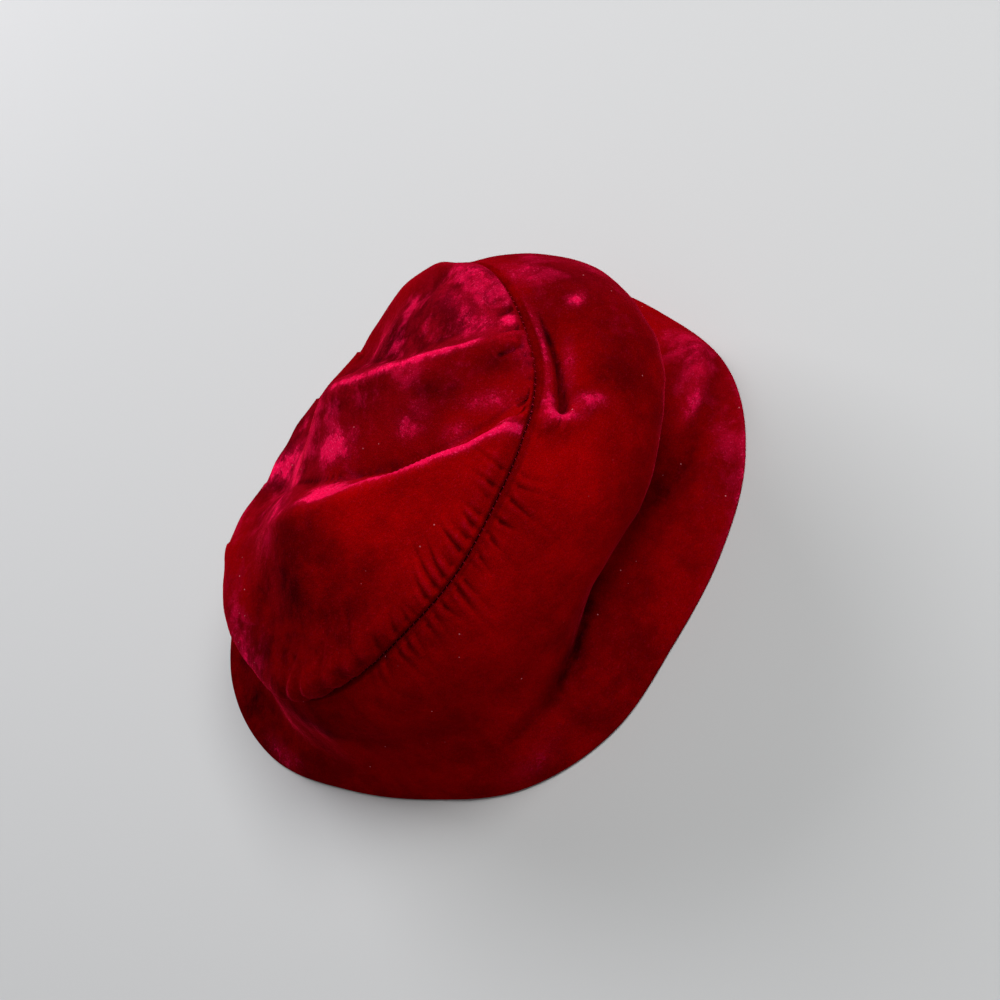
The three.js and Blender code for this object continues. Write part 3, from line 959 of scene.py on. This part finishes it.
@dataclass(frozen=True)
class ThreadFinish:
    """Twisted sewing thread. A bump is a strength and a depth in metres."""

    name: str
    colour: Colour
    dark: Colour
    twist_scale: float = 1400.0
    twist_distortion: float = 1.5
    twist_bump: Pair = (0.4, 0.0001)
    roughness: float = 0.75
    specular: float = 0.1

    def material(self) -> bpy.types.Material:
        """Builds the thread material with a fine twist."""
        material, sheet, shader = new_material(self.name)
        wave = sheet.add("ShaderNodeTexWave", bands_direction="DIAGONAL")
        sizes = {"Scale": self.twist_scale, "Distortion": self.twist_distortion}
        twist = sheet.fill(wave, {"Vector": sheet.object_place(), **sizes}).outputs["Fac"]
        inputs = {
            "Base Color": sheet.mix(twist, self.dark, self.colour),
            "Roughness": self.roughness,
            "Normal": sheet.bump(twist, *self.twist_bump),
            "Specular IOR Level": self.specular,
        }
        sheet.fill(shader, inputs)
        return material


@dataclass
class ClothPanel(ABC):
    """What the two panels share: their rows, turned-in edges, pile with its painted shade and highlights,
    and place in the part.

    CLIMB is 1 where the outside rows climb, or else -1.
    """

    NAME: ClassVar[str]
    CLOSED: ClassVar[bool]
    CLIMB: ClassVar[float]
    # Hidden rows: painted shade darkens the turned-in edges in the seam and the inside.
    HIDDEN_PILE_AND_SHADE: ClassVar[dict[Pile, float]] = {Pile.BRUSHED_AND_SHEEN: 0.0, Pile.PRESSED_AND_HIGHLIGHT: 0.0, Pile.SHADED: 0.45}
    ROLL_STEPS: ClassVar[tuple[float, ...]] = (0.2, 0.4, 0.6, 0.8, 1.0)
    INNER_STEPS: ClassVar[tuple[float, ...]] = (0.0, 0.35, 0.7)
    LEAST_SPAN: ClassVar[float] = 0.01

    form: ClothForm
    columns: int = 640
    front: float = 275.0
    crowding: float = 0.5
    fine_step: float = 0.85
    coarse_step: float = 1.8
    fine_reach: float = 24.0
    last_step_share: float = 0.6
    inner_start: float = 3.0
    inner_rows: int = 40
    inner_overlap: float = 2.0
    least_lean: float = 0.25
    # Painted shade: an even amount, more in hollows and less on crests, which also take a painted pink
    # highlight.
    plain_shade: float = 0.22
    hollow_shade: float = 0.46
    hollow_bend: Pair = (0.02, 0.4)
    crest_highlight: float = 0.16
    crest_light: float = 0.4
    crest_bend: Pair = (0.1, 0.55)
    deepest_crease: float = 1.5
    quiet_seam: float = 8.0
    seam_fade: Pair = (0.5, 5.0)
    puckers: tuple[PuckerRun, ...] = ()
    ripples: tuple[Unevenness, ...] = ()
    beads: SeamBeads = SeamBeads()

    @abstractmethod
    def far_edge(self) -> float:
        """Distance from the seam to the last row of the cloth."""

    @abstractmethod
    def surface(self, deg: Values, distance: Values) -> Values:
        """The panel without its fine folds, at angles and distances from the seam."""

    @abstractmethod
    def fold_height(self, deg: Values, distance: Values, base: Values) -> Values:
        """Heights of the fine folds, which both faces of the cloth follow."""

    @abstractmethod
    def pile(self, kind: Pile, deg: Values, distance: Values, base: Values) -> Values:
        """How far the patches of one kind change the pile or paint shade and light."""

    @abstractmethod
    def ends(self, outer: Values, inner: Values) -> tuple[Values, Values]:
        """Rows that close the cloth before its first outside row and after its last inside row."""

    @abstractmethod
    def end_pile(self, values: Values) -> Values:
        """The pile's values on the rows before the first outside row."""

    def angles(self) -> Values:
        """Angle of each column, closer together at the front of the hat."""
        even = np.arange(self.columns) * 360.0 / self.columns
        return even - math.degrees(self.crowding) * np.sin(np.radians(even - self.front))

    def graded(self, start: float, end: float) -> Values:
        """Distances from the seam down the rows, from the far edge in and close together near the seam."""
        places, place = [], start
        while place < end - self.coarse_step * self.last_step_share:
            places.append(place)
            place += self.fine_step if place < self.fine_reach else self.coarse_step
        return np.array([*places, end])[::-1, None]

    def facing(self, points: Values, climb: float) -> Values:
        """Directions square to a grid of points, on the outside for its own climb."""
        across = np.roll(points, -1, axis=1) - np.roll(points, 1, axis=1)
        return unit(np.cross(across, np.gradient(points, axis=0))) * climb

    def bend(self, points: Values, normal: Values, rows: int = 2, columns: int = 4) -> Values:
        """Curvature of the cloth along and across its rows, per millimetre: hollows are positive."""
        padded = np.pad(points, ((rows, rows), (0, 0), (0, 0)), mode="edge")
        pairs = (
            (np.roll(points, columns, axis=1), np.roll(points, -columns, axis=1)),
            (padded[2 * rows :], padded[: -2 * rows]),
        )
        total = np.zeros(points.shape[:2])
        for one, other in pairs:
            rise = ((one + other - 2 * points) * normal).sum(-1)
            total += 4.0 * rise / np.maximum(((one - other) ** 2).sum(-1), self.LEAST_SPAN)
        total[:rows], total[-rows:] = 0.0, 0.0
        return total

    def ripple_share(self, distance: Values) -> Values:
        """How much of the cloth's unevenness shows, which is none at the seam."""
        return smoothstep(distance, 0.0, self.quiet_seam)

    def pile_height(self, deg: Values, distance: Values, base: Values) -> Values:
        """Heights of the puckers, seam beads and unevenness of the outer face."""
        total = sum(ripple.at(base) for ripple in self.ripples) * self.ripple_share(distance)
        total += sum(run.height(deg, distance) for run in self.puckers)
        return np.maximum(total + self.beads.height(deg, distance), -self.deepest_crease)

    def layers(self, patches: dict[Pile, Values], bend: Values) -> dict[Pile, Values]:
        """The state of the pile with painted light: patches, painted shade in hollows, and painted
        highlights, lighter and pink, along crests.

        Args:
            patches: Summed patches of each kind.
            bend: How far the cloth bends.

        Returns:
            Values from 0 to 1 of each kind.
        """
        hollow, crest = smoothstep(bend, *self.hollow_bend), smoothstep(-bend, *self.crest_bend)
        shade = self.plain_shade + self.hollow_shade * hollow - self.crest_light * crest
        extra = {Pile.SHADED: shade, Pile.PRESSED_AND_HIGHLIGHT: self.crest_highlight * crest}
        return {kind: np.clip(patches[kind] + extra.get(kind, 0.0), 0.0, 1.0) for kind in Pile}

    def turned_edge(self, deg: Values, outer: Values, inner: Values) -> Values:
        """The edge that is turned in at the seam, from the outside round the raw edge to the inside.

        Args:
            deg: Angle of each column.
            outer: Last outside row of the cloth.
            inner: The same row on the inside.

        Returns:
            Rows of points.
        """
        form = self.form
        seam, inwards, to_top = form.seam_frame(deg)
        across = to_top * -self.CLIMB
        corner = seam + across * (form.seam_gap / 2)
        arm = unit(outer - corner)
        slope = (arm * inwards).sum(-1, keepdims=True)
        lean = np.sqrt(np.clip(1.0 - slope**2, self.least_lean, 1.0))
        inner_corner = corner + (arm + inwards) * (form.cloth / lean)
        rolled = corner + inwards * form.seam_arm
        raw = corner + inwards * form.allowance
        thick = across * form.cloth
        lap = rolled + inwards * self.inner_overlap + thick

        def roll(a: Values, b: Values, c: Values, t: float) -> Values:
            """A point of a rolled edge."""
            return (1 - t) ** 2 * a + 2 * t * (1 - t) * b + t * t * c

        rows = [roll(outer, corner, rolled, t) for t in self.ROLL_STEPS]
        rows += [raw, raw + thick]
        rows += [roll(lap, inner_corner, inner, t) for t in self.INNER_STEPS]
        return np.stack(rows)

    def build(self) -> bpy.types.Object:
        """Spins and drapes the panel.

        Returns:
            The panel as a closed shell of cloth.
        """
        form, deg, far = self.form, self.angles(), self.far_edge()
        distance = self.graded(form.seam_arm, far)
        base = self.surface(deg, distance)
        normal = self.facing(base, self.CLIMB)
        height = self.fold_height(deg, distance, base) + self.pile_height(deg, distance, base)
        outer = base + normal * height[..., None]
        edge = self.turned_edge(deg, outer[-1], outer[-1] - normal[-1] * form.cloth)
        inner_distance = np.linspace(form.seam_arm + self.inner_start, far, self.inner_rows)[:, None]
        underside = self.surface(deg, inner_distance)
        height = self.fold_height(deg, inner_distance, underside) - form.cloth
        inner = underside + self.facing(underside, -self.CLIMB) * height[..., None]
        inner[..., 2] = np.maximum(inner[..., 2], 0.0)
        first, last = self.ends(outer, inner)
        points = np.concatenate([first, outer, edge, inner, last]) + np.array(form.shift)
        patches = {kind: self.pile(kind, deg, distance, base) for kind in Pile}
        layers = {}
        for kind, values in self.layers(patches, self.bend(outer, self.facing(outer, self.CLIMB))).items():
            shown = np.concatenate([self.end_pile(values), values])
            layers[kind.value] = np.full(points.shape[:2], self.HIDDEN_PILE_AND_SHADE[kind])
            layers[kind.value][: len(shown)] = shown
        return SpunGrid(*points.shape[:2], closed=self.CLOSED).drape(self.NAME, points, layers)

    def dress(self, piece: bpy.types.Object, panel: Panel, velvet: bpy.types.Material) -> bpy.types.Object:
        """Gives a panel its velvet and its place in the part."""
        piece.data.materials.append(velvet)
        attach(piece, "root")
        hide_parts(panel.value)
        report(piece)
        return piece


@dataclass
class SidePanel(ClothPanel):
    """The side of the crown and the flared brim, one panel from hem to seam."""

    NAME: ClassVar[str] = "velvet_side_and_brim"
    CLOSED: ClassVar[bool] = True
    CLIMB: ClassVar[float] = 1.0
    HEM_STEPS: ClassVar[tuple[float, ...]] = (0.86, 0.68, 0.5, 0.32, 0.14)

    hem_start: float = 1.6
    hem_roll: float = 1.4
    hem_fade: float = 0.08
    quiet_hem: float = 0.06
    inner_rows: int = 44
    flat: Pair = (0.75, 0.115)
    flat_area: float = 0.06
    puckers: tuple[PuckerRun, ...] = (
        PuckerRun(224, 295, 3.3, 0.82, 16.0, 11, 1.0),
        PuckerRun(10, 222, 6.5, 0.35, 7.0, 13),
    )
    ripples: tuple[Unevenness, ...] = (Unevenness(46.0, 0.4, 21), Unevenness(17.0, 0.11, 22))

    def share(self, distance: Values) -> Values:
        """Share of the way up from the hem."""
        return 1.0 - distance / self.form.side_length

    def far_edge(self) -> float:
        """Distance from the seam to the start of the hem."""
        return self.form.side_length - self.hem_start

    def surface(self, deg: Values, distance: Values) -> Values:
        """The side without its fine folds."""
        return self.form.side(deg, self.share(distance))

    def fold_height(self, deg: Values, distance: Values, base: Values) -> Values:
        """Heights of the side's fine folds, which die out at the seam and the hem."""
        share = self.share(distance)
        ends = smoothstep(distance, *self.seam_fade) * smoothstep(share, 0.0, self.hem_fade)
        return self.form.side_fold_height(FINE_SIDE_FOLDS, deg, share) * ends

    def ripple_share(self, distance: Values) -> Values:
        """How much of the side's unevenness shows, which is none at the seam and the hem."""
        return smoothstep(self.share(distance), 0.0, self.quiet_hem) * super().ripple_share(distance)

    def pile(self, kind: Pile, deg: Values, distance: Values, base: Values) -> Values:
        """How far the side's patches of one kind change the pile or paint shade and light."""
        total = np.zeros(base.shape[:2])
        for dab in SIDE_PATCHES[kind]:
            x, y = self.form.side_plan(deg, self.share(distance), dab.place[0])
            total += dab.at(x, y - dab.place[1] * self.form.side_length)
        return total

    def ends(self, outer: Values, inner: Values) -> tuple[Values, Values]:
        """The rolled hem, flattened where it rests, and no rows after the inside."""
        down = unit(outer[0] - outer[2]) * self.hem_roll
        foot, heel = outer[0] + down, inner[-1] + down
        t = np.array(self.HEM_STEPS)[:, None, None]
        hem = (1 - t) ** 3 * outer[0] + 3 * t * (1 - t) ** 2 * foot
        hem = hem + 3 * t * t * (1 - t) * heel + t**3 * inner[-1]
        hem[..., 2] = np.maximum(hem[..., 2], 0.0)
        return hem, inner[:0]

    def end_pile(self, values: Values) -> Values:
        """The hem goes on with the pile of the row above it."""
        return values[:1].repeat(len(self.HEM_STEPS), axis=0)


@dataclass
class TopPanel(ClothPanel):
    """The puffed top of the crown, from the seam to the middle."""

    NAME: ClassVar[str] = "velvet_crown_top"
    CLOSED: ClassVar[bool] = False
    CLIMB: ClassVar[float] = -1.0

    seam_fade: Pair = (0.5, 6.0)
    pole_share: float = 0.985
    # A painted highlight along the sharp crest lines, and its width.
    crest_line_highlight: float = 0.6
    crest_width: float = 1.7
    flat: Pair = (0.215, 0.205)
    flat_area: float = 0.0335
    puckers: tuple[PuckerRun, ...] = (
        PuckerRun(232, 292, 3.6, 0.74, 16.0, 31, 1.0),
        PuckerRun(194, 238, 6.5, 1.15, 18.0, 32, 1.6),
        PuckerRun(300, 345, 4.2, 1.15, 9.0, 33, 0.95),
        PuckerRun(0, 190, 6.5, 0.2, 8.0, 34),
    )
    ripples: tuple[Unevenness, ...] = (Unevenness(40.0, 0.4, 41), Unevenness(15.0, 0.13, 42))

    def far_edge(self) -> float:
        """Distance from the seam to the last row before the pole."""
        return self.pole_share * self.form.top_length

    def surface(self, deg: Values, distance: Values) -> Values:
        """The top without its fine folds."""
        return self.form.top(deg, distance / self.form.top_length)

    def fold_height(self, deg: Values, distance: Values, base: Values) -> Values:
        """Heights of the top's fine folds, which die out at the seam."""
        total = sum(fold.height(base[..., 0], base[..., 1]) for fold in FINE_TOP_FOLDS)
        return total * smoothstep(distance, *self.seam_fade)

    def pile(self, kind: Pile, deg: Values, distance: Values, base: Values) -> Values:
        """How far the top's patches of one kind change the pile or paint shade and light, with a painted
        highlight along the crests.
        """
        x, y = base[..., 0], base[..., 1]
        total = np.zeros(x.shape)
        for fold in TOP_CRESTS if kind is Pile.PRESSED_AND_HIGHLIGHT else ():
            total += self.crest_line_highlight * fold.heights[1] * fold.crest(x, y, self.crest_width)
        for dab in TOP_PATCHES[kind]:
            total += dab.at(x - dab.place[0], y - dab.place[1])
        return total

    def pole(self, row: Values) -> Values:
        """A row drawn together to its mean."""
        return np.broadcast_to(row.mean(1, keepdims=True), row.shape)

    def ends(self, outer: Values, inner: Values) -> tuple[Values, Values]:
        """The poles in the middle of the top, outside and inside."""
        return self.pole(outer[:1]), self.pole(inner[-1:])

    def end_pile(self, values: Values) -> Values:
        """The pole takes the mean of the row round it."""
        return self.pole(values[:1])


@dataclass
class SeamStitches:
    """The row of stitches down in the seam."""

    form: ClothForm
    pitch: float = 2.8
    length: float = 1.9
    thickness: float = 0.42
    depth: float = 1.6
    slant: float = 0.35
    probe_degrees: float = 0.25
    segments: tuple[int, int] = (6, 5)

    def build(self) -> bpy.types.Object:
        """Places a stitch at each step along the seam.

        Returns:
            All the stitches as one object.
        """
        seam, inwards, across = self.form.seam_frame(np.arange(0.0, 360.0, self.probe_degrees))
        steps = np.roll(seam, -1, axis=0) - seam
        ahead = unit(steps)
        walked = np.cumsum(np.linalg.norm(steps, axis=1))
        count = int(walked[-1] // self.pitch)
        around, lengthwise = self.segments
        bm = bmesh.new()
        for k in np.searchsorted(walked, np.arange(count) * walked[-1] / count):
            place = seam[k] + inwards[k] * self.depth + np.array(self.form.shift)
            lying = unit(across[k] + ahead[k] * self.slant)
            beside = unit(np.cross(inwards[k], lying))
            axes = np.stack([lying * self.length, beside * self.thickness, inwards[k] * self.thickness])
            matrix = Matrix((axes.T * 0.5 * MM).tolist()).to_4x4()
            matrix.translation = Vector(place * MM)
            bmesh.ops.create_uvsphere(
                bm, u_segments=around, v_segments=lengthwise, radius=1.0, matrix=matrix
            )
        smooth_outward(bm)
        return linked("seam_stitches", bm)

    def dress(self, piece: bpy.types.Object, thread: bpy.types.Material) -> bpy.types.Object:
        """Gives the stitches their thread and their place in the part."""
        piece.data.materials.append(thread)
        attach(piece, "root")
        report(piece)
        return piece


@dataclass(frozen=True)
class Softbox:
    """A large soft light, placed by direction from the hat."""

    name: str
    azimuth: float
    elevation: float
    distance_m: float
    width_m: float
    height_m: float
    watts: float
    colour: Colour

    def place(self, aim: Vector) -> bpy.types.Object:
        """Puts the light up, facing the hat."""
        a, e = math.radians(self.azimuth), math.radians(self.elevation)
        back = Vector((math.cos(a) * math.cos(e), math.sin(a) * math.cos(e), math.sin(e)))
        lamp = bpy.data.lights.new(self.name, "AREA")
        lamp.shape, lamp.size, lamp.size_y = "RECTANGLE", self.width_m, self.height_m
        lamp.energy, lamp.color = self.watts, self.colour
        light = bpy.data.objects.new(self.name, lamp)
        light.location = aim + back * self.distance_m
        light.rotation_mode = "QUATERNION"
        light.rotation_quaternion = back.to_track_quat("Z", "Y")
        bpy.context.scene.collection.objects.link(light)
        return light


@dataclass
class Studio:
    """Plain floor, soft lights and the camera at the photograph's angle."""

    elevation: float = 50.5
    roll: float = 48.5
    distance_m: float = 0.75764
    lens_mm: float = 72.0
    sensor_mm: float = 36.0
    clip_m: Pair = (0.05, 20.0)
    target_m: Triple = (0.0196, -0.04272, 0.0564)
    floor_size_m: float = 3.0
    floor_drop_m: float = 0.0002
    floor_colour: Colour = (0.6, 0.62, 0.63)
    floor_roughness: float = 0.9
    floor_specular: float = 0.1
    sky_colour: Colour = (0.95, 0.97, 1.0)
    ambient: float = 0.1
    light_aim_m: Triple = (0.0, 0.0, 0.05)
    lights: tuple[Softbox, ...] = (
        Softbox("key", 345, 60, 1.5, 0.9, 0.8, 17.0, (1.0, 0.98, 0.96)),
        Softbox("back_rim", 88, 32, 1.5, 1.0, 0.6, 15.0, (1.0, 0.96, 0.98)),
        Softbox("front_fill", 258, 60, 1.5, 1.3, 1.2, 1.6, (1.0, 0.98, 0.96)),
    )

    def floor(self) -> bpy.types.Object:
        """Makes the plain floor."""
        bm = bmesh.new()
        bmesh.ops.create_grid(bm, x_segments=1, y_segments=1, size=self.floor_size_m)
        bmesh.ops.translate(bm, verts=bm.verts[:], vec=(0.0, 0.0, -self.floor_drop_m))
        piece = linked("floor", bm)
        material, sheet, shader = new_material("pale_floor")
        gloss = {"Roughness": self.floor_roughness, "Specular IOR Level": self.floor_specular}
        sheet.fill(shader, {"Base Color": self.floor_colour, **gloss})
        piece.data.materials.append(material)
        return piece

    def camera(self) -> bpy.types.Object:
        """Sets the camera at the photograph's angle and roll."""
        e, r = math.radians(self.elevation), math.radians(self.roll)
        back = Vector((0.0, -math.cos(e), math.sin(e)))
        level, rise = Vector((1.0, 0.0, 0.0)), Vector((0.0, math.sin(e), math.cos(e)))
        right = level * math.cos(r) - rise * math.sin(r)
        up = level * math.sin(r) + rise * math.cos(r)
        data = bpy.data.cameras.new("camera")
        data.lens, data.sensor_width = self.lens_mm, self.sensor_mm
        data.clip_start, data.clip_end = self.clip_m
        eye = bpy.data.objects.new("camera", data)
        matrix = Matrix((right, up, back)).transposed().to_4x4()
        matrix.translation = Vector(self.target_m) + back * self.distance_m
        eye.matrix_world = matrix
        bpy.context.scene.collection.objects.link(eye)
        bpy.context.scene.camera = eye
        return eye

    def build(self) -> None:
        """Sets up floor, light and camera."""
        self.floor()
        for light in self.lights:
            light.place(Vector(self.light_aim_m))
        world = bpy.data.worlds.new("studio")
        world.use_nodes = True
        sheet = NodeSheet(world.node_tree)
        sheet.fill(sheet.find("BACKGROUND"), {"Color": self.sky_colour, "Strength": self.ambient})
        bpy.context.scene.world = world
        bpy.context.scene.view_settings.view_transform = "Standard"
        self.camera()


RED_VELVET = VelvetFinish(
    "red_velvet",
    deep=(0.03, 0.0001, 0.0002),
    bright=(0.44, 0.0004, 0.0008),
    brushed_and_sheen_deep=(0.15, 0.0006, 0.004),
    brushed_and_sheen=(0.48, 0.002, 0.015),
    pressed_and_highlight=(1.0, 0.005, 0.085),
    sparkle=(1.0, 0.04, 0.17),
    roots=(0.02, 0.0, 0.001),
    lint=(0.6, 0.16, 0.19),
    sheen_tint=(1.0, 0.015, 0.07),
)
RED_THREAD = ThreadFinish("red_thread", colour=(0.6, 0.012, 0.05), dark=(0.3, 0.005, 0.016))


def main() -> None:
    """Builds the panels, the stitches and the studio in order."""
    logging.basicConfig(level=logging.INFO, format="%(name)s: %(message)s")
    form = ClothForm()
    velvet = RED_VELVET.material(CrushedPile().group())
    side, top, stitches = SidePanel(form), TopPanel(form), SeamStitches(form)
    side_piece = side.dress(side.build(), Panel.SIDE, velvet)
    top_piece = top.dress(top.build(), Panel.TOP, velvet)
    thread = stitches.dress(stitches.build(), RED_THREAD.material())
    Studio().build()


if __name__ == "__main__":
    main()
